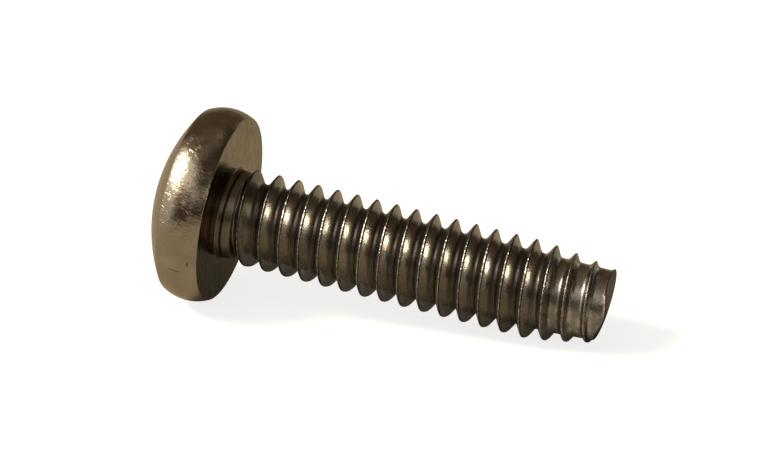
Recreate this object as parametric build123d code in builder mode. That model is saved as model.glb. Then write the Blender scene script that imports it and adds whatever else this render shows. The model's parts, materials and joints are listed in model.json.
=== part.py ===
from build123d import *
import os
from math import asin, atan2, cos, hypot, radians, sin, sqrt, tan

# Thread rolling screw, cold headed and rolled in one piece: a pan head with a six-lobe socket,
# and a three-lobed shank whose threads get lower towards the point. It lies as it comes to
# rest on a table, on the side of its head and on its lead threads, with +Z up. The origin is
# the centre of the bearing face under the head. The shank runs towards +X and drops to its
# point. All sizes are in millimetres and degrees.
os.makedirs("parts", exist_ok=True)

# Thread
pitch = 1.27
thread_diameter = 6.0  # over the crests, the same whichever way the shank is turned
lobe_spread = 0.8  # distance between the centres of the three lobes
flank_angle = 60.0
crest_flat = 0.14
root_rounding = 0.265  # radius of the groove's round bottom
crest_start = 0.13  # from the bearing face to a crest, on the upper side

# Shank
shank_length = 24.2
neck_ridge = 0.1  # height of the thread over its root, where it starts to rise
neck_length = 0.75  # from the bearing face to there
run_in_length = 0.7  # and from there until it has its full height
seat_clearance = 0.09  # from the highest crest to where the flat bearing face starts
rounding_sink = 0.12  # how far the neck's hollow rounding ends under the root
lead_length = 4.4  # the threads that get lower towards the point
point_ridge = 0.065  # height of the thread over its root at the point
point_chamfer = 0.16

# Head
head_diameter = 12.3  # at the fullest part of its side
rim_inset = 0.33  # how far the side draws in to the bearing face
shoulder_inset = 0.35  # and to the shoulder
side_height = 2.65  # from the bearing face to the shoulder
head_height = 4.5
rim_rounding = 0.12
shoulder_rounding = 0.4
head_offset = 0.25  # cold heading left the head this far above the shank's axis

# Drive socket
socket_diameter = 5.55  # across the lobes
socket_waist = 3.98  # across the ridges between the lobes
socket_ridge_radius = 1.18
socket_lobe_rounding = 0.4
socket_depth = 2.3
socket_floor_drop = 0.5  # the conical floor is this much deeper at its centre

overlap = 0.5  # how far a root reaches into the head, and a tool runs past the metal
mouth_clearance = 0.02  # from the highest crest to where the groove's sides turn straight

# Three wide arcs about the corners of a triangle, rounded at the lobes, make the same width
# in every direction
crest_radius = thread_diameter / 2
lobe_centre = lobe_spread / sqrt(3)
wide_arc = crest_radius + lobe_spread / 2
lobe_arc = crest_radius - lobe_spread / 2
highest_crest = lobe_centre + lobe_arc

# Groove between two crests: half its width at the crests and at its mouth, and the radii of
# the sharp corner of its flanks and of the rounded root
flank_run = tan(radians(flank_angle / 2))
crest_half = (pitch - crest_flat) / 2
mouth_radius = highest_crest + mouth_clearance
mouth_half = crest_half + (mouth_radius - crest_radius) * flank_run
corner_radius = crest_radius - crest_half / flank_run
root_radius = corner_radius + root_rounding * (1 / sin(radians(flank_angle / 2)) - 1)
neck_radius = root_radius + neck_ridge
point_radius = root_radius + point_ridge

# The neck's hollow rounding is a quarter of a circle from the root to the bearing face
rounding_foot = root_radius - rounding_sink
rounding_edge = highest_crest + seat_clearance
neck_rounding = rounding_edge - rounding_foot

# The side of the head is one arc through rim, fullest part and shoulder, and the head rests
# on it
rim_radius = head_diameter / 2 - rim_inset
shoulder_radius = head_diameter / 2 - shoulder_inset
side_bulge = (rim_inset + shoulder_inset) / 2
side_arc = (side_height**2 / 4 + side_bulge**2) / (2 * side_bulge)
side_arc_centre = head_diameter / 2 - side_arc


def resting_drop(distance, radius):
    """Drop of the shank when the head's side and a point on the shank both touch the table."""
    along = distance + side_height / 2
    inward = side_arc_centre - head_offset - radius
    return atan2(inward, along) + asin(side_arc / hypot(along, inward))


drop = min(
    resting_drop(shank_length - lead_length, crest_radius),
    resting_drop(shank_length - point_chamfer, point_radius),
)
seat = Plane((0, 0, 0), x_dir=(sin(drop), 0, cos(drop)), z_dir=(cos(drop), 0, -sin(drop)))
shank_axis = Axis(seat.origin, seat.z_dir)
head_centre = seat.from_local_coords(Vector(head_offset, 0, 0))
head_axis = Axis(head_centre, seat.z_dir)
head_top = Plane(head_centre - seat.z_dir * head_height, x_dir=seat.x_dir, z_dir=-seat.z_dir)

# Planes through the axes: the radius lies along x. The distance from the bearing face lies
# along y, towards the point on the shank's plane and towards the crown on the head's. The
# shank's plane is the lower half, so its seam stays clear of the seams of the groove
shank_section = Plane(seat.origin, x_dir=-seat.x_dir, z_dir=seat.y_dir)
head_section = Plane(head_centre, x_dir=seat.x_dir, z_dir=seat.y_dir)
groove_start = crest_start - 1.5 * pitch
groove_section = Plane(seat.from_local_coords(Vector(0, 0, groove_start)),
                       x_dir=seat.x_dir, z_dir=-seat.y_dir)

with BuildPart() as screw:
    # Three-lobed blank
    with BuildSketch(seat.offset(-overlap)) as blank:
        Circle(thread_diameter)
        for turn in (0, 120, 240):
            with PolarLocations(lobe_centre, 1, turn):
                Circle(wide_arc, mode=Mode.INTERSECT)
        fillet(blank.vertices(), lobe_arc)
    extrude(amount=shank_length + overlap)

    # Line of the crests: low at the neck, full, and falling to the chamfered point. It starts
    # under the root, where the head covers it
    run_in_rise = (crest_radius - neck_radius) / run_in_length
    lead_fall = (crest_radius - point_radius) / lead_length
    clear_radius = highest_crest + overlap
    with BuildSketch(shank_section):
        with BuildLine():
            Polyline(
                (0, -overlap),
                (root_radius - neck_ridge, -overlap),
                (neck_radius, neck_length),
                (clear_radius, neck_length + (clear_radius - neck_radius) / run_in_rise),
                (clear_radius, shank_length - (clear_radius - point_radius) / lead_fall),
                (point_radius + point_chamfer * lead_fall, shank_length - point_chamfer),
                (point_radius - point_chamfer, shank_length),
                (0, shank_length),
                close=True,
            )
        make_face()
    revolve(axis=shank_axis, mode=Mode.INTERSECT)

    # Right-hand groove from inside the head to past the point
    with BuildLine() as groove_path:
        Helix(pitch, shank_length + pitch - groove_start, crest_radius,
              center=groove_section.origin, direction=seat.z_dir)
    with BuildSketch(groove_section) as groove:
        with BuildLine():
            Polyline(
                (corner_radius, 0),
                (mouth_radius, -mouth_half),
                (mouth_radius + overlap, -mouth_half),
                (mouth_radius + overlap, mouth_half),
                (mouth_radius, mouth_half),
                close=True,
            )
        make_face()
        fillet(groove.vertices().sort_by(Axis.X)[0], root_rounding)
    sweep(path=groove_path.line, is_frenet=True, mode=Mode.SUBTRACT)

    # Hollow rounding from the neck to the bearing face, which starts clear of the crests
    with BuildSketch(shank_section):
        with BuildLine():
            Polyline((rounding_edge, 0), (rounding_edge, -overlap), (0, -overlap),
                     (0, neck_rounding), (rounding_foot, neck_rounding))
            RadiusArc((rounding_edge, 0), (rounding_foot, neck_rounding), neck_rounding)
        make_face()
    revolve(axis=shank_axis)

    # Pan head
    with BuildSketch(head_section) as head:
        with BuildLine():
            Line((0, 0), (rim_radius, 0))
            ThreePointArc((rim_radius, 0), (head_diameter / 2, side_height / 2),
                          (shoulder_radius, side_height))
            TangentArc((0, head_height), (shoulder_radius, side_height), tangent=(1, 0))
            Line((0, head_height), (0, 0))
        make_face()
        fillet(head.vertices().sort_by_distance((rim_radius, 0))[0], rim_rounding)
        fillet(head.vertices().sort_by_distance((shoulder_radius, side_height))[0],
               shoulder_rounding)
    revolve(axis=head_axis)

    # Six-lobe socket with a conical floor
    with BuildSketch(head_top.offset(-socket_depth)) as socket:
        Circle(socket_diameter / 2)
        with PolarLocations(socket_waist / 2 + socket_ridge_radius, 6):
            Circle(socket_ridge_radius, mode=Mode.SUBTRACT)
        fillet(socket.vertices(), socket_lobe_rounding)
    extrude(amount=socket_depth + overlap, mode=Mode.SUBTRACT)
    socket_floor = head_height - socket_depth
    with BuildSketch(head_section):
        with BuildLine():
            Polyline((0, socket_floor), (socket_waist / 2, socket_floor),
                     (0, socket_floor - socket_floor_drop), close=True)
        make_face()
    revolve(axis=head_axis, mode=Mode.SUBTRACT)

screw.part.label = "screw"
export_step(screw.part, "parts/screw.step")
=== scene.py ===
import json
import math

import bpy
import numpy as np
from mathutils import Matrix, Vector


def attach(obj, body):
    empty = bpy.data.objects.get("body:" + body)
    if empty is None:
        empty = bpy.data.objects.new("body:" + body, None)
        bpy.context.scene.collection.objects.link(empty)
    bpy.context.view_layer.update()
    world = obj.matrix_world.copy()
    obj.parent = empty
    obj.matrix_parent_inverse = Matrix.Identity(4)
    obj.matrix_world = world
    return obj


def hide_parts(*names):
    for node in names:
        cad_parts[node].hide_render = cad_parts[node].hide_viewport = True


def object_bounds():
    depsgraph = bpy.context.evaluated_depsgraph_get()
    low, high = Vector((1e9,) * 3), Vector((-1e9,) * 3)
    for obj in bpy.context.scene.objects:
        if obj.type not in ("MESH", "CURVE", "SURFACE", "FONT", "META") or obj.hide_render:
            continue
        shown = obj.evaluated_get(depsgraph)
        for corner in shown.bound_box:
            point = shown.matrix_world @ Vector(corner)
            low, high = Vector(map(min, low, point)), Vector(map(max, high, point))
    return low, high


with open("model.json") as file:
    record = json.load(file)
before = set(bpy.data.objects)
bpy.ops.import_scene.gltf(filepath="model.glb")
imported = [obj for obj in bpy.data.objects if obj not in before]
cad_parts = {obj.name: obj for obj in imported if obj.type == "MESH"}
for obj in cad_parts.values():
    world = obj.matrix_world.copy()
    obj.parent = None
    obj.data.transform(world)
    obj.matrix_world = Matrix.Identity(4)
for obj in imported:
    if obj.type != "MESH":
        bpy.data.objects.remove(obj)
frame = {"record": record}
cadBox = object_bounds()
print("frame loaded")

mm = 0.001

# the mount of the bearing face gives the shank's axis, from the head to the point
seat = next(m for m in frame["record"]["mounts"] if m["name"] == "bearing_face")
alongShank = np.array(seat["axis"]) / np.linalg.norm(seat["axis"])
upward = np.array([-alongShank[2], 0.0, alongShank[0]])
sideways = np.cross(alongShank, upward)

# all sizes in these dictionaries are millimetres, and places along the shank are measured from the
# bearing face towards the point. Angles are degrees from the upper side, first towards the camera
shank = {
    "length": 24.2,
    "crestRadius": 3.0,      # the same width over the crests whichever way the shank is turned
    "lobeSpread": 0.8,       # between the centres of the three lobes
    "pitch": 1.27,
    "flankAngle": 60,        # between the two flanks of the groove
    "crestFlat": 0.14,
    "rootRounding": 0.265,
    "crestRounding": 0.06,   # takes the edges off the crest
    "crestStart": 0.13,      # a crest, on the upper side
    "drift": 0.08,           # the rolled thread runs this much ahead and behind in each turn
    "driftFrom": 26,
    "neckLength": 0.5,       # the thread starts to rise here
    "neckRidge": 0.1,        # from this height over its root
    "runIn": 0.65,           # and is at its full height this much further on
    "seatRadius": 2.95,      # the neck's hollow rounding meets the bearing face here
    "neckRadius": 2.83,      # and ends here; the plain neck narrows from it
    "neckTaper": 0.14,       # by this much for each millimetre
    "plainTo": 0.92,         # up to here, where its far flank falls to the root
    "headward": 0.17,        # the first crest lies this much nearer to the head
    "headwardFrom": 1.22,    # and the shift ends from here
    "headwardTo": 2.3,       # to here
    "ringsTo": 0.13,         # plain rings up to here, then rows that follow the thread
    "leadLength": 4.4,
    "pointRidge": 0.13,
    "pointChamfer": 0.16,
    "crestLift": 0.03,       # rolled up crests stand a little over the plain line
    "pointSag": 0.26,        # the underside draws in by this towards the point
    "pointSagLength": 3.6,
    "pointSagPower": 1.6,
}
cutEnd = {
    "short": 0.18,           # without tilt and bulge it lies this much short of the full length
    "tilt": 0.16,
    "tiltAt": -60,           # where the tilt makes it longest
    "bulge": 0.5,
    "bulgeAt": 80,
    "bulgeWidth": 38,
    "corner": 0.07,          # length of the rounded corner
    "rolled": 0.17,          # and this much more where it is rolled over
    "rolledPast": 42,        # from the bulge to there
    "rolledWidth": 22,
}
head = {
    "diameter": 12.294,
    "offset": 0.25,          # the head stands this far above the shank's axis
    "rimInset": 0.33,
    "shoulderInset": 0.35,
    "sideHeight": 2.65,
    "height": 4.5,
    "rimRounding": 0.12,
    "shoulderRounding": 0.22,
}
socket = {
    "diameter": 5.55,
    "waist": 3.98,
    "ridgeRadius": 1.18,
    "lobeRounding": 0.4,
    "depth": 2.3,
    "floorDrop": 0.5,
    "coneInset": 0.02,       # the floor's cone starts this far inside the waist
    "edgeRounding": 0.07,
}
mesh = {
    "columns": 144,
    # rows of one thread, as shares of a pitch from its crest
    "rows": (0.0, 0.018, 0.036, 0.054, 0.075, 0.11, 0.17, 0.24, 0.3, 0.35, 0.4, 0.45, 0.5,
             0.55, 0.6, 0.65, 0.7, 0.76, 0.83, 0.89, 0.925, 0.946, 0.964, 0.982),
    "spareTurns": (2, 1),    # more turns of rows before and past the thread; they fold on its end rings
    "shiftBounds": (-10, 100),  # millimetres, well before and past all rows
    # rings across each other surface, with those on its edges
    "end": 14,
    "endCorner": 6,
    "neck": 9,
    "bearingFace": 15,
    "rim": 6,
    "side": 22,
    "shoulder": 9,
    "crown": 24,
    "socketEdge": 4,
    "socketWall": 12,
    "socketLedge": 5,
    "socketCone": 12,
    "mergeDecimals": 5,      # points are the same if they agree to here
}

# the flanks would meet at the corner radius; the rounding lifts the root over it
halfAngle = math.radians(shank["flankAngle"] / 2)
flankRun = math.tan(halfAngle)
cornerRadius = shank["crestRadius"] - (shank["pitch"] - shank["crestFlat"]) / 2 / flankRun
rootRadius = cornerRadius + shank["rootRounding"] * (1 / math.sin(halfAngle) - 1)
turns = np.arange(mesh["columns"]) / mesh["columns"] * 2 * np.pi


def lobedRadius(turn):
    # three wide arcs about the corners of a triangle, rounded at its corners by small arcs
    centre = shank["lobeSpread"] / math.sqrt(3)
    wide = shank["crestRadius"] + shank["lobeSpread"] / 2
    small = shank["crestRadius"] - shank["lobeSpread"] / 2
    fromLobe = np.abs((turn + np.pi / 3) % (2 * np.pi / 3) - np.pi / 3)
    fromFlat = np.pi / 3 - fromLobe
    limit = math.atan2(small / 2, centre + small * math.sqrt(3) / 2)
    lobe = centre * np.cos(fromLobe) + np.sqrt(small**2 - (centre * np.sin(fromLobe))**2)
    flat = -centre * np.cos(fromFlat) + np.sqrt(wide**2 - (centre * np.sin(fromFlat))**2)
    return np.where(fromLobe < limit, lobe, flat)


def leadLine(along):
    # radius over the crests, straight down to a low ridge at the point
    point = rootRadius + shank["pointRidge"]
    return point + (shank["length"] - along) * (shank["crestRadius"] - point) / shank["leadLength"]


def crestAlong(turn):
    # where the crest of the first turn lies: the helix, with a slow drift that is a sine round the shank
    drift = shank["drift"] * np.sin(turn + math.radians(shank["driftFrom"]))
    return shank["crestStart"] + shank["pitch"] * turn / (2 * np.pi) - drift


def unshifted(along):
    # where a place on the shank would be without the shift of the first crest, which ends in a
    # straight ramp
    ramp = (shank["headwardTo"] - along) / (shank["headwardTo"] - shank["headwardFrom"])
    return along + shank["headward"] * np.clip(ramp, 0, 1)


def threadRadius(along, turn, top):
    # flanks between a round root and a crest that is a smooth minimum of flank and top line. Where the
    # lead line lowers the crests the roots get wider, so the ridge between keeps its sharp form
    pitch, r = shank["pitch"], shank["rootRounding"]
    fromCrest = (unshifted(along) - crestAlong(turn)) % pitch
    fromMiddle = np.abs(fromCrest - pitch / 2)
    lowered = np.maximum(shank["crestRadius"] - leadLine(along), 0)
    fromRoot = np.maximum(fromMiddle - lowered * flankRun, 0)
    flank = cornerRadius + fromRoot / flankRun
    gap = top - flank
    ridge = (top + flank - np.sqrt(gap**2 + shank["crestRounding"]**2)) / 2
    bottom = rootRadius + r - np.sqrt(np.maximum(r**2 - fromRoot**2, 0))
    return np.where(fromRoot < r * math.cos(halfAngle), np.minimum(bottom, ridge + r), ridge)


def neckOutline(along):
    # quarter of a circle from the bearing face down to the plain neck, a cone that ends in a flank
    r = shank["seatRadius"] - shank["neckRadius"]
    curve = shank["seatRadius"] - np.sqrt(np.maximum(r**2 - (r - along)**2, 0))
    past = np.maximum(along - shank["plainTo"], 0)
    plain = shank["neckRadius"] - shank["neckTaper"] * (along - r) - past / flankRun
    return np.where(along < r, curve, plain)


def shankRadius(along, turn):
    # the thread under the lowest of lobed blank, run-in and lead line, and the neck where it is higher.
    # The top is lifted by half of 1 + cos(turn). Towards the point the underside is taken down by a
    # smooth curve times half of 1 - cos(turn)
    crest = shank["crestRadius"]
    neck = rootRadius + shank["neckRidge"]
    runIn = neck + np.maximum(along - shank["neckLength"], 0) * (crest - neck) / shank["runIn"]
    lift = shank["crestLift"] * (1 + np.cos(turn)) / 2
    top = np.minimum(lobedRadius(turn), np.minimum(runIn, leadLine(along))) + lift
    nearPoint = np.clip((along - shank["length"]) / shank["pointSagLength"] + 1, 0, None)
    sag = shank["pointSag"] * nearPoint**shank["pointSagPower"] * (1 - np.cos(turn)) / 2
    return np.maximum(threadRadius(along, turn, top) - sag, neckOutline(along))


def shearedEnd(turn):
    # the blank was cut off before rolling: its end is a tilted plane, a cosine round the shank, with
    # a bulge where the metal tore last. Past the bulge the corner is rolled over for a longer way.
    # Bulge and rolled corner are bell curves of the angle
    degrees = np.degrees(turn)
    end = shank["length"] - cutEnd["short"] + cutEnd["tilt"] * np.cos(turn - math.radians(cutEnd["tiltAt"]))
    end = end + cutEnd["bulge"] * np.exp(-((degrees - cutEnd["bulgeAt"]) / cutEnd["bulgeWidth"])**2)
    past = degrees - cutEnd["bulgeAt"] - cutEnd["rolledPast"]
    corner = cutEnd["corner"] + cutEnd["rolled"] * np.exp(-(past / cutEnd["rolledWidth"])**2)
    return end, corner


def placed(radius, turn, along, rise=0.0):
    # a point at a radius and an angle round the axis, which is lifted by rise for the head
    x = radius * np.cos(turn) + rise
    y = radius * np.sin(turn)
    return x[..., None] * upward + y[..., None] * sideways + (along + 0 * x)[..., None] * alongShank


def ringRows(radii, alongs, rise=0.0):
    # one ring of points for each radius; a radius or a height may change round the ring
    rings = [placed(np.broadcast_to(r, turns.shape), turns, np.broadcast_to(s, turns.shape), rise)
             for r, s in zip(radii, alongs)]
    return np.array(rings)


def threadRows(endAlong):
    # rows along the helix at the shares of a pitch, laid out for the unshifted thread and then moved with
    # the shift. They stop at the ring where the point's corner starts
    pitch = shank["pitch"]
    before, past = mesh["spareTurns"]
    first = math.floor((shank["ringsTo"] - shank["crestStart"]) / pitch) - before
    last = math.ceil(shank["length"] / pitch) + past
    share = np.add.outer(np.arange(first, last), np.array(mesh["rows"])).ravel()
    along = crestAlong(turns)[None] + pitch * share[:, None]
    low, high = mesh["shiftBounds"]
    shifted = np.array([low, shank["headwardFrom"], shank["headwardTo"], high])
    along = np.interp(along, unshifted(shifted), shifted)
    along = np.clip(along, shank["ringsTo"], endAlong)
    return placed(shankRadius(along, turns[None]), turns[None] + 0 * along, along)


def arcPoints(centre, radius, start, end, count):
    # points on a circle from one angle to another
    t = np.linspace(start, end, count)
    return centre[0] + radius * np.cos(t), centre[1] + radius * np.sin(t)


def headOutline():
    # radius and height over the bearing face, from the rim to where the crown's arc starts, and that
    # arc's radius. The side is one arc that bulges by the mean of both insets, and each rounding is a
    # circle that touches its two neighbours
    shoulder = head["diameter"] / 2 - head["shoulderInset"]
    half = head["sideHeight"] / 2
    bulge = (head["rimInset"] + head["shoulderInset"]) / 2
    sideR = (half**2 + bulge**2) / (2 * bulge)
    sideC = np.array([head["diameter"] / 2 - sideR, half])
    rise = head["height"] - head["sideHeight"]
    crownR = (shoulder**2 + rise**2) / (2 * rise)
    crownC = np.array([0.0, head["height"] - crownR])
    # rim rounding: its centre is one rounding over the face and inside the side's arc
    rimR = head["rimRounding"]
    reach = sideR - rimR
    rimC = np.array([sideC[0] + math.sqrt(reach**2 - (rimR - sideC[1])**2), rimR])
    rimEnd = math.atan2(*(rimC - sideC)[::-1])
    # shoulder rounding: inside both arcs, where circles about their centres cross
    shoulderR = head["shoulderRounding"]
    between = sideC - crownC
    distance = np.linalg.norm(between)
    ahead = ((crownR - shoulderR)**2 - (sideR - shoulderR)**2 + distance**2) / (2 * distance)
    aside = math.sqrt((crownR - shoulderR)**2 - ahead**2)
    shoulderC = crownC + ahead * between / distance + aside * np.array([between[1], -between[0]]) / distance
    sideEnd = math.atan2(*(shoulderC - sideC)[::-1])
    crownStart = math.atan2(*(shoulderC - crownC)[::-1])
    parts = [
        arcPoints(rimC, rimR, -math.pi / 2, rimEnd, mesh["rim"]),
        arcPoints(sideC, sideR, rimEnd, sideEnd, mesh["side"]),
        arcPoints(shoulderC, shoulderR, sideEnd, crownStart, mesh["shoulder"]),
    ]
    radii = np.concatenate([x[0] if k == 0 else x[0][1:] for k, x in enumerate(parts)])
    heights = np.concatenate([x[1] if k == 0 else x[1][1:] for k, x in enumerate(parts)])
    return radii, heights, crownR


def socketRadius(turn):
    # six ridges of one circle each, with the lobes between them rounded
    outer, r = socket["diameter"] / 2, socket["lobeRounding"]
    ridge = socket["ridgeRadius"]
    ridgeAt = socket["waist"] / 2 + ridge
    lobeAt = outer - r
    fromRidge = np.abs((turn + np.pi / 6) % (np.pi / 3) - np.pi / 6)
    lobeTurn = math.acos((lobeAt**2 + ridgeAt**2 - (ridge + r)**2) / (2 * lobeAt * ridgeAt))
    fromLobe = fromRidge - lobeTurn
    lobe = lobeAt * np.array([math.cos(lobeTurn), math.sin(lobeTurn)])
    touch = lobe + (np.array([ridgeAt, 0]) - lobe) * r / (ridge + r)
    limit = math.atan2(touch[1], touch[0])
    ridgeDepth = np.sqrt(np.maximum(ridge**2 - (ridgeAt * np.sin(fromRidge))**2, 0))
    lobeDepth = np.sqrt(np.maximum(r**2 - (lobeAt * np.sin(fromLobe))**2, 0))
    ridgeSide = ridgeAt * np.cos(fromRidge) - ridgeDepth
    lobeSide = lobeAt * np.cos(fromLobe) + lobeDepth
    return np.where(fromRidge < limit, ridgeSide, np.where(fromRidge < lobeTurn, lobeSide, outer))


def endRings(faceAlong, corner):
    # rings of the cut-off end, from its middle out to the thread: its height follows the square of the
    # radius up to the sheared rim, and a quarter of an ellipse rounds the corner
    endAlong = faceAlong - corner
    endRadius = shankRadius(endAlong, turns)
    faceRadius = endRadius - shank["pointChamfer"]
    middleAlong = faceAlong.mean()
    shares = np.linspace(0, 1, mesh["end"])[1:]
    cornerTurns = np.linspace(0, np.pi / 2, mesh["endCorner"])[1:]
    radii = [faceRadius * w for w in shares]
    radii += [faceRadius + (endRadius - faceRadius) * math.sin(a) for a in cornerTurns]
    alongs = [middleAlong + (faceAlong - middleAlong) * w**2 for w in shares]
    alongs += [endAlong + corner * math.cos(a) for a in cornerTurns]
    pole = placed(np.zeros(1), np.zeros(1), np.array([middleAlong]))
    return ringRows(radii, alongs), pole


def headRings():
    # rings from the neck over bearing face, side and crown, then down the socket to its middle. The
    # bearing face, the wall and the floor are straight blends of their edges, and so are the crown's
    # radii, whose heights follow its arc
    neckAlong = shank["ringsTo"] * (1 - np.sin(np.linspace(0, np.pi / 2, mesh["neck"])))
    neck = ringRows([neckOutline(s) for s in neckAlong], neckAlong)
    radii, heights, crownR = headOutline()
    side = ringRows(radii, -heights, head["offset"])
    bearingShares = np.linspace(0, 1, mesh["bearingFace"])[1:-1, None, None]
    bearing = neck[-1] + (side[0] - neck[-1]) * bearingShares

    edge = socket["edgeRounding"]
    mouth = socketRadius(turns)
    crownC = head["height"] - crownR
    crownRadii = [radii[-1] + (mouth + edge - radii[-1]) * w for w in np.linspace(0, 1, mesh["crown"])[1:]]
    crownHeights = [crownC + np.sqrt(crownR**2 - r**2) for r in crownRadii]
    brim = crownHeights[-1]
    edgeTurns = np.linspace(0, np.pi / 2, mesh["socketEdge"])[1:]
    edgeRadii = [mouth + edge * (1 - math.sin(a)) for a in edgeTurns]
    edgeHeights = [brim - edge * (1 - math.cos(a)) for a in edgeTurns]
    floor = head["height"] - socket["depth"]
    wallShares = np.linspace(0, 1, mesh["socketWall"])[1:]
    wallHeights = [edgeHeights[-1] + (floor - edgeHeights[-1]) * w for w in wallShares]
    foot = socket["waist"] / 2 - socket["coneInset"]
    ledgeRadii = [mouth + (foot - mouth) * w for w in np.linspace(0, 1, mesh["socketLedge"])[1:]]
    coneShares = np.linspace(1, 0, mesh["socketCone"])[1:-1]
    coneRadii = [foot * w for w in coneShares]
    coneHeights = [floor - socket["floorDrop"] * (1 - w) for w in coneShares]
    topRadii = crownRadii + edgeRadii + [mouth] * len(wallHeights) + ledgeRadii + coneRadii
    topHeights = crownHeights + edgeHeights + wallHeights + [floor] * len(ledgeRadii) + coneHeights
    top = ringRows(topRadii, [-np.asarray(h) for h in topHeights], head["offset"])
    pole = placed(np.zeros(1), np.zeros(1), np.array([socket["floorDrop"] - floor]), head["offset"])
    return np.concatenate([neck, bearing, side, top]), pole


def stitched(end, threads, headPart, poles):
    # quads between neighbouring rows, and triangles round both poles. A row of the thread meets the
    # row one pitch further on where it comes round, and all other rows close on themselves
    columns, perTurn = mesh["columns"], len(mesh["rows"])
    points, quads, firstIndex = [], [], 0
    for block in (end, threads, headPart):
        n = len(block)
        index = firstIndex + np.arange(n * columns).reshape(n, columns)
        wrap = index[:, 0]
        if block is threads:
            wrap = np.full(n, -1)
            wrap[perTurn:] = index[:-perTurn, 0]
        wide = np.concatenate([index, wrap[:, None]], axis=1)
        cells = np.stack([wide[:-1, :-1], wide[1:, :-1], wide[1:, 1:], wide[:-1, 1:]], axis=-1).reshape(-1, 4)
        quads.append(cells[(cells >= 0).all(axis=1)])
        points.append(block.reshape(-1, 3))
        firstIndex += n * columns
    firstRing = np.arange(columns)
    lastRing = firstIndex - columns + np.arange(columns)
    pole = np.full(columns, firstIndex)
    quads.append(np.stack([pole, firstRing, np.roll(firstRing, -1), np.roll(firstRing, -1)], axis=1))
    quads.append(np.stack([pole + 1, np.roll(lastRing, -1), lastRing, lastRing], axis=1))
    return np.concatenate(points + poles), np.concatenate(quads)


def screwSurface():
    # one closed surface: the cut-off end, the thread, then neck, head and socket
    faceAlong, corner = shearedEnd(turns)
    end, endPole = endRings(faceAlong, corner)
    threads = threadRows(faceAlong - corner)[::-1]
    headPart, socketPole = headRings()
    return stitched(end, threads, headPart, [endPole, socketPole])


def addObject(name, data):
    # puts a mesh, lamp or camera into the scene
    obj = bpy.data.objects.new(name, data)
    bpy.context.scene.collection.objects.link(obj)
    return obj


def meshObject(name, points, quads):
    # merges points that coincide, drops the faces that this closes up, and makes the object
    kept, back = np.unique(np.round(points, mesh["mergeDecimals"]), axis=0, return_inverse=True)
    quads = back.reshape(-1)[quads]
    same = quads == np.roll(quads, -1, axis=1)
    full = quads[same.sum(axis=1) == 0]
    full = full[(full[:, 0] != full[:, 2]) & (full[:, 1] != full[:, 3])]
    thin = quads[same.sum(axis=1) == 1]
    gap = same[same.sum(axis=1) == 1].argmax(axis=1)
    triangles = np.take_along_axis(thin, (gap[:, None] + np.array([1, 2, 3])) % 4, axis=1)
    triangles = triangles[(triangles[:, 0] != triangles[:, 1]) & (triangles[:, 1] != triangles[:, 2])
                          & (triangles[:, 0] != triangles[:, 2])]
    data = bpy.data.meshes.new(name)
    data.from_pydata((kept * mm).tolist(), [], full.tolist() + triangles.tolist())
    data.polygons.foreach_set("use_smooth", np.ones(len(data.polygons), bool))
    data.update()
    print(name, len(data.vertices), "points", 2 * len(full) + len(triangles), "triangles")
    return addObject(name, data)


def linearColour(code):
    # sRGB hex to linear, with alpha
    values = [int(code[k:k + 2], 16) / 255 for k in (1, 3, 5)]
    return tuple(v / 12.92 if v <= 0.04045 else ((v + 0.055) / 1.055)**2.4 for v in values) + (1.0,)


def addNode(tree, kind, settings=None, **links):
    # adds a node, sets its properties, and fills its inputs with values, other nodes' sockets, or nodes,
    # whose first output is taken. An input goes by its name, with _ for a space, or by its number, as i0
    node = tree.nodes.new(kind)
    for key, value in (settings or {}).items():
        setattr(node, key, value)
    for key, value in links.items():
        numbered = key[0] == "i" and key[1:].isdigit()
        socketIn = node.inputs[int(key[1:]) if numbered else key.replace("_", " ")]
        if isinstance(value, bpy.types.Node):
            value = value.outputs[0]
        if isinstance(value, bpy.types.NodeSocket):
            tree.links.new(value, socketIn)
        else:
            socketIn.default_value = value
    return node


def newMaterial(name):
    # a material with no nodes yet
    material = bpy.data.materials.new(name)
    material.use_nodes = True
    material.node_tree.nodes.clear()
    return material, material.node_tree


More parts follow.
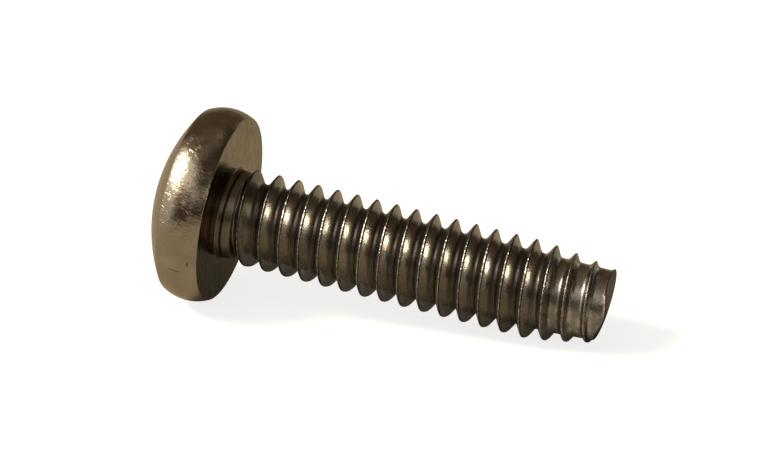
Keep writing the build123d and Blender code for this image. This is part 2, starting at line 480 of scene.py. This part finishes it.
# sizes are millimetres. A dictionary in it turns a pattern or a distance from its From values into
# its To values, which are 0 and 1 where they aren't given
finish = {
    "metal": "#978a74",
    "burnished": "#a8a193",  # where the rolling dies pressed the thread
    "grimeAndShadeColour": "#2e241d",      # dark brown of residue, stains and scratches, and of the painted shade in the grooves and on the neck
    "edgeTint": "#ebe3d3",   # the plating stays warm at grazing angles
    "tint": {"From_Min": 0.3, "From_Max": 0.7, "To_Min": 0.8, "To_Max": 1.12},  # by the blotches
    "roughness": {"From_Min": 0.3, "From_Max": 0.7, "To_Min": 0.19, "To_Max": 0.26},  # by the patches
    "grimeRoughness": 0.45,
    "faceRoughness": 0.13,   # the bearing face is pressed smooth
    # waves for each millimetre, and detail
    "blotches": (0.5, 3.0),  # in the plating, about 2 mm wide
    "patches": (2.0, 4.0),   # of residue, about 0.5 mm
    "grain": (6.5, 2.0),     # 0.15 mm, which is coarser than the real one so that it shows
    # how much metal colour shows across one thread, the rest being painted shade: share of a pitch from the
    # crest, towards the point, and the share of metal colour there. The roots and the thin lines either side
    # of the crest line are painted shade; the line just past the crest stands for the seam where the rolled
    # crest closes
    "unshadedAcross": ((-0.5, 0.12), (-0.49, 0.22), (-0.46, 0.22), (-0.44, 0.08), (-0.42, 0.15), (-0.395, 0.95),
                    (-0.14, 0.95), (-0.1, 0.15), (-0.06, 0.2), (-0.028, 1.0), (0.002, 1.0), (0.012, 0.03),
                    (0.05, 0.03), (0.062, 0.95), (0.3, 1.0), (0.35, 0.4), (0.42, 0.12), (0.5, 0.12)),
    "uneven": {"From_Min": 0.3, "From_Max": 0.6, "To_Min": 0.92, "To_Max": 1.04},  # by the patches
    "pastNeck": {"From_Min": shank["plainTo"] - 0.1, "From_Max": shank["plainTo"] + 0.1},
    # this share of the painted groove shade is left along the lead threads
    "leadShade": {"From_Min": shank["length"] - 4.6, "From_Max": shank["length"] - 2.6,
                    "To_Min": 1.0, "To_Max": 0.4},
    # the worn band, in shares of a pitch from the crest, and the residue on it by the grain
    "onCrest": {"From_Min": 0.1, "From_Max": 0.05},
    "specks": {"From_Min": 0.5, "From_Max": 0.58, "To_Max": 0.7},
    # stains by the patches, and where they start along the shank
    "stain": {"From_Min": 0.44, "From_Max": 0.6, "To_Max": 0.5},
    "stainAlong": {"From_Min": shank["length"] - 4.2, "From_Max": shank["length"] - 3.2},
    # painted shade along the neck under the head, with more of it in a line
    "neckShade": {"From_Min": 1.5, "From_Max": 2.0, "To_Min": 0.5, "To_Max": 0.0},
    "neckShadeLine": 0.48,
    "neckShadeLineAt": 0.36,
    "neckShadeLineReach": 0.08,
    "neckFrom": -0.01,       # the neck's painted shade ends here towards the head
    "neckWithin": 2.97,      # and at this radius
    # residue in streaks on the bearing face, which starts between these radii
    "streakSize": (1.0, 0.35, 1.0),
    "streakDetail": 3.0,
    "streaks": {"From_Min": 0.35, "From_Max": 0.65, "To_Min": 0.12, "To_Max": 0.62},
    "faceEdge": {"From_Min": 3.0, "From_Max": 3.3},
    "faceReach": 0.02,       # along the shank
    # the end's last stretch, and how dark it is made by how squarely a place faces along the shank
    "endReach": 0.8,
    "endFacing": {"From_Min": 0.45, "From_Max": 0.75, "To_Max": 0.96},
    # heights of the bump everywhere, and more of it on the worn band
    "grainHeight": 0.012,
    "crestHeight": 0.03,
    # single scratches on the head: middle, direction, half length, half width
    "scratches": (((-1.55, -5.81, -1.6), (0.98, 0.0, -0.18), 0.5, 0.06),
                  ((-0.67, -5.86, -1.08), (0.3, 0.0, 0.95), 0.12, 0.07),
                  ((-2.22, -4.61, -3.51), (0.8, -0.3, -0.5), 0.2, 0.06)),
    "scratchCore": 0.3,      # share of the width that is fully dark
    "scratchDark": 0.85,
    # short scratches across the head's side, where it slid over other screws
    "rippleTurn": 0.35,      # radians
    "rippleSize": (0.55, 0.55, 0.11),
    "rippleDetail": 2.0,
    "rippleBreak": 0.6,      # how much of the finer waves
    "ripples": {"From_Min": 0.5, "From_Max": 0.7},
    "rippleWorn": {"From_Min": 0.4, "From_Max": 0.6, "To_Max": 0.013},  # up to this height
    "rippleTo": -0.15,
}


def platedSteel():
    # cold headed and rolled steel under a thin warm plating: a soft mirror with an olive cast, worn
    # to fine specks on the crests, with painted shade in the grooves and on the neck, and a dull dark cut-off
    # end
    material, tree = newMaterial("platedSteel")
    coordinates = addNode(tree, "ShaderNodeTexCoord")
    place = addNode(tree, "ShaderNodeVectorMath", {"operation": "SCALE"}, i0=coordinates.outputs["Object"],
                    i3=1 / mm)

    # cylinder coordinates round the shank's axis, in millimetres
    along, up, side = [
        addNode(tree, "ShaderNodeVectorMath", {"operation": "DOT_PRODUCT"}, i0=place,
                i1=tuple(axis)).outputs["Value"] for axis in (alongShank, upward, sideways)]
    across = addNode(tree, "ShaderNodeCombineXYZ", None, i0=up, i1=side)
    radius = addNode(tree, "ShaderNodeVectorMath", {"operation": "LENGTH"}, i0=across).outputs["Value"]
    turn = addNode(tree, "ShaderNodeMath", {"operation": "ARCTAN2"}, i0=side, i1=up)

    # shares of a pitch from the nearest crest, as crestAlong and unshifted have it
    headward = addNode(tree, "ShaderNodeMapRange", None, Value=along, From_Min=shank["headwardTo"],
                       From_Max=shank["headwardFrom"], To_Max=shank["headward"])
    rowAlong = addNode(tree, "ShaderNodeMath", {"operation": "ADD"}, i0=along, i1=headward)
    share = addNode(tree, "ShaderNodeMath", {"operation": "MULTIPLY_ADD"}, i0=rowAlong,
                    i1=1 / shank["pitch"], i2=-shank["crestStart"] / shank["pitch"])
    share = addNode(tree, "ShaderNodeMath", {"operation": "MULTIPLY_ADD"}, i0=turn,
                    i1=-0.5 / math.pi, i2=share)
    drift = addNode(tree, "ShaderNodeMath", {"operation": "ADD"}, i0=turn,
                    i1=math.radians(shank["driftFrom"]))
    drift = addNode(tree, "ShaderNodeMath", {"operation": "SINE"}, i0=drift)
    share = addNode(tree, "ShaderNodeMath", {"operation": "MULTIPLY_ADD"}, i0=drift,
                    i1=shank["drift"] / shank["pitch"], i2=share)
    fromCrest = addNode(tree, "ShaderNodeMath", {"operation": "WRAP"}, i0=share, i1=0.5, i2=-0.5)

    blotches, patches, grain = [
        addNode(tree, "ShaderNodeTexNoise", None, Vector=place, Scale=scale, Detail=detail)
        for scale, detail in (finish["blotches"], finish["patches"], finish["grain"])]

    # painted shade across the thread, in the roots and beside the crest line; it starts past the neck and
    # thins out on the lead threads
    shifted = addNode(tree, "ShaderNodeMath", {"operation": "ADD"}, i0=fromCrest, i1=0.5)
    # the ramp gives the share of metal colour; the rest is painted shade
    unshaded = addNode(tree, "ShaderNodeValToRGB", None, Fac=shifted)
    stops = unshaded.color_ramp.elements
    while len(stops) < len(finish["unshadedAcross"]):
        stops.new(0.5)
    for stop, (at, level) in zip(stops, finish["unshadedAcross"]):
        stop.position = at + 0.5
        stop.color = (level, level, level, 1)
    pastNeck = addNode(tree, "ShaderNodeMapRange", {"interpolation_type": "SMOOTHSTEP"}, Value=along,
                       **finish["pastNeck"])
    # how much of the painted groove shade stays on the lead threads
    onLead = addNode(tree, "ShaderNodeMapRange", None, Value=along, **finish["leadShade"])
    # painted shade in the grooves; real specks, stains and the end's darkening are added to it below
    grimeAndShade = addNode(tree, "ShaderNodeMath", {"operation": "SUBTRACT"}, i0=1.0, i1=unshaded)
    grimeAndShade = addNode(tree, "ShaderNodeMath", {"operation": "MULTIPLY"}, i0=grimeAndShade, i1=onLead)
    uneven = addNode(tree, "ShaderNodeMapRange", None, Value=patches, **finish["uneven"])
    grimeAndShade = addNode(tree, "ShaderNodeMath", {"operation": "MULTIPLY"}, i0=grimeAndShade, i1=uneven)

    # the crests are worn to specks, with residue between them
    nearCrest = addNode(tree, "ShaderNodeMath", {"operation": "ABSOLUTE"}, i0=fromCrest)
    specks = addNode(tree, "ShaderNodeMapRange", None, Value=grain, **finish["specks"])
    onCrest = addNode(tree, "ShaderNodeMapRange", None, Value=nearCrest, **finish["onCrest"])
    specks = addNode(tree, "ShaderNodeMath", {"operation": "MULTIPLY"}, i0=specks, i1=onCrest)
    grimeAndShade = addNode(tree, "ShaderNodeMath", {"operation": "MAXIMUM"}, i0=grimeAndShade, i1=specks)
    grimeAndShade = addNode(tree, "ShaderNodeMath", {"operation": "MULTIPLY"}, i0=grimeAndShade, i1=pastNeck)

    # the lead threads are stained in patches
    stain = addNode(tree, "ShaderNodeMapRange", None, Value=patches, **finish["stain"])
    pastThreads = addNode(tree, "ShaderNodeMapRange", {"interpolation_type": "SMOOTHSTEP"}, Value=along,
                          **finish["stainAlong"])
    stain = addNode(tree, "ShaderNodeMath", {"operation": "MULTIPLY"}, i0=stain, i1=pastThreads)
    grimeAndShade = addNode(tree, "ShaderNodeMath", {"operation": "MAXIMUM"}, i0=grimeAndShade, i1=stain)

    # painted shade on the neck under the head, and most in a line beside its rounding
    neck = addNode(tree, "ShaderNodeMapRange", None, Value=along, **finish["neckShade"])
    neckShadeLine = addNode(tree, "ShaderNodeMath", {"operation": "COMPARE"}, i0=along,
                       i1=finish["neckShadeLineAt"], i2=finish["neckShadeLineReach"])
    neck = addNode(tree, "ShaderNodeMath", {"operation": "MULTIPLY_ADD"}, i0=neckShadeLine,
                   i1=finish["neckShadeLine"], i2=neck)
    pastHead = addNode(tree, "ShaderNodeMath", {"operation": "GREATER_THAN"}, i0=along,
                       i1=finish["neckFrom"])
    neck = addNode(tree, "ShaderNodeMath", {"operation": "MULTIPLY"}, i0=neck, i1=pastHead)
    withinNeck = addNode(tree, "ShaderNodeMath", {"operation": "LESS_THAN"}, i0=radius,
                         i1=finish["neckWithin"])
    neck = addNode(tree, "ShaderNodeMath", {"operation": "MULTIPLY"}, i0=neck, i1=withinNeck)
    # the neck's painted shade joins the groove shade
    grimeAndShade = addNode(tree, "ShaderNodeMath", {"operation": "MAXIMUM"}, i0=grimeAndShade, i1=neck)

    # the bearing face is duller, in streaks along which it slid
    streaks = addNode(tree, "ShaderNodeMapping", {"vector_type": "TEXTURE"}, Vector=place,
                      Rotation=(0, -math.asin(alongShank[2]), 0), Scale=finish["streakSize"])
    streaks = addNode(tree, "ShaderNodeTexNoise", None, Vector=streaks, Scale=1.0,
                      Detail=finish["streakDetail"])
    faceDirt = addNode(tree, "ShaderNodeMapRange", None, Value=streaks, **finish["streaks"])
    onFace = addNode(tree, "ShaderNodeMapRange", None, Value=radius, **finish["faceEdge"])
    besideHead = addNode(tree, "ShaderNodeMath", {"operation": "COMPARE"}, i0=along, i1=0.0,
                         i2=finish["faceReach"])
    onFace = addNode(tree, "ShaderNodeMath", {"operation": "MULTIPLY"}, i0=onFace, i1=besideHead)
    faceDirt = addNode(tree, "ShaderNodeMath", {"operation": "MULTIPLY"}, i0=faceDirt, i1=onFace)

    # the cut-off end is made dull and dark brown where it faces along the shank
    beyond = addNode(tree, "ShaderNodeMath", {"operation": "GREATER_THAN"}, i0=along,
                     i1=shank["length"] - finish["endReach"])
    outward = addNode(tree, "ShaderNodeVectorMath", {"operation": "DOT_PRODUCT"},
                      i0=coordinates.outputs["Normal"], i1=tuple(alongShank))
    inside = addNode(tree, "ShaderNodeMapRange", None, Value=outward.outputs["Value"], **finish["endFacing"])
    endFace = addNode(tree, "ShaderNodeMath", {"operation": "MULTIPLY"}, i0=beyond, i1=inside)
    grimeAndShade = addNode(tree, "ShaderNodeMath", {"operation": "MAXIMUM", "use_clamp": True}, i0=grimeAndShade, i1=endFace)
    dark = addNode(tree, "ShaderNodeMath", {"operation": "MAXIMUM"}, i0=grimeAndShade, i1=faceDirt)

    # a single scratch is dark where the nearest point of its middle line is close
    for centre, heading, reach, width in finish["scratches"]:
        away = addNode(tree, "ShaderNodeVectorMath", {"operation": "SUBTRACT"}, i0=place, i1=centre)
        step = addNode(tree, "ShaderNodeVectorMath", {"operation": "DOT_PRODUCT"}, i0=away, i1=heading)
        step = addNode(tree, "ShaderNodeClamp", None, Value=step.outputs["Value"], Min=-reach, Max=reach)
        foot = addNode(tree, "ShaderNodeVectorMath", {"operation": "SCALE"}, i0=heading, i3=step)
        away = addNode(tree, "ShaderNodeVectorMath", {"operation": "DISTANCE"}, i0=away, i1=foot)
        scratch = addNode(tree, "ShaderNodeMapRange", None, Value=away.outputs["Value"], From_Min=width,
                          From_Max=width * finish["scratchCore"], To_Max=finish["scratchDark"])
        dark = addNode(tree, "ShaderNodeMath", {"operation": "MAXIMUM"}, i0=dark, i1=scratch)

    tint = addNode(tree, "ShaderNodeMapRange", None, Value=blotches, **finish["tint"])
    metal = addNode(tree, "ShaderNodeMix", {"data_type": "RGBA"}, i0=pastNeck,
                    i6=linearColour(finish["metal"]), i7=linearColour(finish["burnished"]))
    metal = addNode(tree, "ShaderNodeVectorMath", {"operation": "SCALE"}, i0=metal.outputs[2], i3=tint)
    # dark brown for residue, stains and scratches, and for the painted shade in the grooves and on the neck
    colour = addNode(tree, "ShaderNodeMix", {"data_type": "RGBA"}, i0=dark, i6=metal,
                     i7=linearColour(finish["grimeAndShadeColour"]))
    roughness = addNode(tree, "ShaderNodeMapRange", None, Value=patches, **finish["roughness"])
    roughness = addNode(tree, "ShaderNodeMix", {"data_type": "FLOAT"}, i0=grimeAndShade, i2=roughness,
                        i3=finish["grimeRoughness"])
    roughness = addNode(tree, "ShaderNodeMix", {"data_type": "FLOAT"}, i0=onFace, i2=roughness,
                        i3=finish["faceRoughness"])

    # height of the short scratches, about 0.1 mm wide
    tilted = addNode(tree, "ShaderNodeMapping", {"vector_type": "TEXTURE"}, Vector=place,
                     Rotation=(0.0, finish["rippleTurn"], 0.0), Scale=finish["rippleSize"])
    ripples = addNode(tree, "ShaderNodeTexNoise", None, Vector=tilted, Scale=1.0,
                      Detail=finish["rippleDetail"], Roughness=finish["rippleBreak"])
    ripples = addNode(tree, "ShaderNodeMapRange", None, Value=ripples, **finish["ripples"])
    onHead = addNode(tree, "ShaderNodeMath", {"operation": "LESS_THAN"}, i0=along, i1=finish["rippleTo"])
    worn = addNode(tree, "ShaderNodeMapRange", None, Value=patches, **finish["rippleWorn"])
    worn = addNode(tree, "ShaderNodeMath", {"operation": "MULTIPLY"}, i0=worn, i1=onHead)

    # grain everywhere, and coarser specks where the crests are worn
    height = addNode(tree, "ShaderNodeMath", {"operation": "MULTIPLY"}, i0=onCrest,
                     i1=finish["crestHeight"])
    height = addNode(tree, "ShaderNodeMath", {"operation": "MULTIPLY"}, i0=height, i1=pastNeck)
    height = addNode(tree, "ShaderNodeMath", {"operation": "ADD"}, i0=height, i1=finish["grainHeight"])
    height = addNode(tree, "ShaderNodeMath", {"operation": "MULTIPLY"}, i0=height, i1=grain)
    height = addNode(tree, "ShaderNodeMath", {"operation": "MULTIPLY_ADD"}, i0=ripples, i1=worn, i2=height)
    bump = addNode(tree, "ShaderNodeBump", None, Strength=1.0, Distance=mm, Height=height)
    shader = addNode(tree, "ShaderNodeBsdfPrincipled", None, Metallic=1.0, Base_Color=colour.outputs[2],
                     Roughness=roughness, Normal=bump, Specular_Tint=linearColour(finish["edgeTint"]))
    addNode(tree, "ShaderNodeOutputMaterial", None, Surface=shader)
    return material


points, quads = screwSurface()
screw = meshObject("screwBody", points, quads)
screw.data.materials.append(platedSteel())
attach(screw, "root")
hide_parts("screw")
print("screw made")


# studio, in millimetres and degrees
view = {
    "place": (46.23, -123.41, 56.23),
    "elevation": 23.449,
    "turn": 16.355,
    "lens": 107.514,
    "sensor": 36,
    "clip": (10, 10000),
}
studio = {
    "middle": (10, 0, 0),
    "lampColour": "#fffaf4",
    # azimuth from the camera, elevation, distance, width, height and radiance
    "lamps": {
        "keyBox": (-84, 40, 310, 210, 135, 1.6),
        "keyCore": (-82, 45, 300, 115, 76, 40.0),
        "fillBox": (-45, 53, 320, 250, 170, 0.9),
    },
    "cardColour": "#ffe3bb",
    "cardFade": 0.55,        # a card is fully there up to this share of its half width
    # azimuth, elevation, distance, width, height and level
    "cards": {
        "frontFlag": (0, 4, 260, 900, 230, 0.05),
        "leftFlag": (-32, 24, 335, 300, 220, 0.3),
        "topFlag": (35, 56, 320, 420, 420, 0.1),
        "rightFlag": (95, 34, 340, 760, 560, 0.07),
        "backFlag": (-172, 36, 350, 760, 560, 0.15),
        "overFlag": (-150, 76, 345, 420, 320, 0.2),
    },
    "floorColour": "#b2aa99",
    "floorSize": 3000,       # from its middle to its sides
    "floorForCamera": 0.81,  # its glow for the camera
    "floorForGloss": 0.06,   # and in reflections
    "world": 0.2,            # strength of the even light
    "background": 1.0,       # and of what the camera and reflections see
}


def addCamera():
    # stands at its place and looks down by the elevation, turned about the upright
    data = bpy.data.cameras.new("camera")
    data.lens = view["lens"]
    data.sensor_width = view["sensor"]
    data.clip_start, data.clip_end = [v * mm for v in view["clip"]]
    camera = addObject("camera", data)
    camera.location = [v * mm for v in view["place"]]
    camera.rotation_euler = (math.radians(90 - view["elevation"]), 0, math.radians(view["turn"]))
    bpy.context.scene.camera = camera


def direction(azimuth, elevation):
    # azimuth from the camera's side, positive to the right of the picture
    a, e, t = math.radians(azimuth), math.radians(elevation), math.radians(view["turn"])
    toCamera = Vector((math.sin(t), -math.cos(t), 0))
    toRight = Vector((math.cos(t), math.sin(t), 0))
    return math.cos(e) * (math.cos(a) * toCamera + math.sin(a) * toRight) + Vector((0, 0, math.sin(e)))


def standFacing(obj, azimuth, elevation, distance):
    # stands an object on a sphere round the screw, with its -Z side towards the screw
    d = direction(azimuth, elevation)
    middle = Vector([v * mm for v in studio["middle"]])
    turn = d.to_track_quat("Z", "Y").to_matrix().to_4x4()
    obj.matrix_world = Matrix.Translation(middle + d * distance * mm) @ turn


def addLamp(name, azimuth, elevation, distance, width, height, radiance):
    # a soft box of a given brightness: an area lamp's power is its radiance times pi times its area
    data = bpy.data.lights.new(name, "AREA")
    data.shape = "RECTANGLE"
    data.size, data.size_y = width * mm, height * mm
    data.energy = radiance * math.pi * width * height * mm**2
    data.color = linearColour(studio["lampColour"])[:3]
    standFacing(addObject(name, data), azimuth, elevation, distance)


def flatPlate(name, w, h, level=0.0):
    # a rectangle of half width w and half height h at a level
    data = bpy.data.meshes.new(name)
    data.from_pydata([(-w, -h, level), (w, -h, level), (w, h, level), (-w, h, level)], [], [(0, 1, 2, 3)])
    return data


def addCard(name, azimuth, elevation, distance, width, height, level):
    # a dark card with soft edges that only reflections see, so that the metal gets its dark sides
    w, h = width * mm / 2, height * mm / 2
    data = flatPlate(name, w, h)
    material, tree = newMaterial(name)
    glow = addNode(tree, "ShaderNodeEmission", None, Color=linearColour(studio["cardColour"]), Strength=level)
    clear = addNode(tree, "ShaderNodeBsdfTransparent")
    place = addNode(tree, "ShaderNodeTexCoord")
    across = addNode(tree, "ShaderNodeSeparateXYZ", None, Vector=place.outputs["Object"])
    edges = []
    for half, axis in ((w, "X"), (h, "Y")):
        away = addNode(tree, "ShaderNodeMath", {"operation": "ABSOLUTE"}, i0=across.outputs[axis])
        edges.append(addNode(tree, "ShaderNodeMapRange", {"interpolation_type": "SMOOTHSTEP"}, Value=away,
                             From_Min=half, From_Max=half * studio["cardFade"]))
    both = addNode(tree, "ShaderNodeMath", {"operation": "MULTIPLY"}, i0=edges[0], i1=edges[1])
    mix = addNode(tree, "ShaderNodeMixShader", None, i0=both, i1=clear, i2=glow)
    addNode(tree, "ShaderNodeOutputMaterial", None, Surface=mix)
    data.materials.append(material)
    obj = addObject(name, data)
    standFacing(obj, azimuth, elevation, distance)
    obj.visible_camera = obj.visible_diffuse = obj.visible_shadow = obj.visible_transmission = False


def addFloor():
    # pale and matt under the screw's lowest point; it glows for the camera and a little in reflections
    size = studio["floorSize"] * mm
    data = flatPlate("floor", size, size, cadBox[0][2])
    material, tree = newMaterial("paleFloor")
    shade = addNode(tree, "ShaderNodeBsdfDiffuse", None, Color=linearColour(studio["floorColour"]))
    path = addNode(tree, "ShaderNodeLightPath")
    reflected = addNode(tree, "ShaderNodeMath", {"operation": "MAXIMUM"}, i0=path.outputs["Is Glossy Ray"],
                        i1=path.outputs["Is Transmission Ray"])
    reflected = addNode(tree, "ShaderNodeMath", {"operation": "MULTIPLY"}, i0=reflected,
                        i1=studio["floorForGloss"])
    level = addNode(tree, "ShaderNodeMix", {"data_type": "FLOAT"}, i0=path.outputs["Is Camera Ray"],
                    i2=reflected, i3=studio["floorForCamera"])
    glow = addNode(tree, "ShaderNodeEmission", None, Color=(1, 1, 1, 1), Strength=level)
    both = addNode(tree, "ShaderNodeAddShader", None, i0=shade, i1=glow)
    addNode(tree, "ShaderNodeOutputMaterial", None, Surface=both)
    data.materials.append(material)
    addObject("floor", data)


def setWorld():
    # a dim even light, and a white background for the camera and for reflections
    world = bpy.data.worlds.new("studio")
    bpy.context.scene.world = world
    world.use_nodes = True
    tree = world.node_tree
    tree.nodes.clear()
    path = addNode(tree, "ShaderNodeLightPath")
    seen = addNode(tree, "ShaderNodeMath", {"operation": "MAXIMUM"}, i0=path.outputs["Is Camera Ray"],
                   i1=path.outputs["Is Glossy Ray"])
    seen = addNode(tree, "ShaderNodeMath", {"operation": "MAXIMUM"}, i0=seen,
                   i1=path.outputs["Is Transmission Ray"])
    level = addNode(tree, "ShaderNodeMix", {"data_type": "FLOAT"}, i0=seen, i2=studio["world"],
                    i3=studio["background"])
    back = addNode(tree, "ShaderNodeBackground", None, Color=(1, 1, 1, 1), Strength=level)
    addNode(tree, "ShaderNodeOutputWorld", None, Surface=back)


addCamera()
addFloor()
setWorld()
for name, numbers in studio["lamps"].items():
    addLamp(name, *numbers)
for name, numbers in studio["cards"].items():
    addCard(name, *numbers)

scene = bpy.context.scene
scene.view_settings.view_transform = "Standard"
print("studio made")
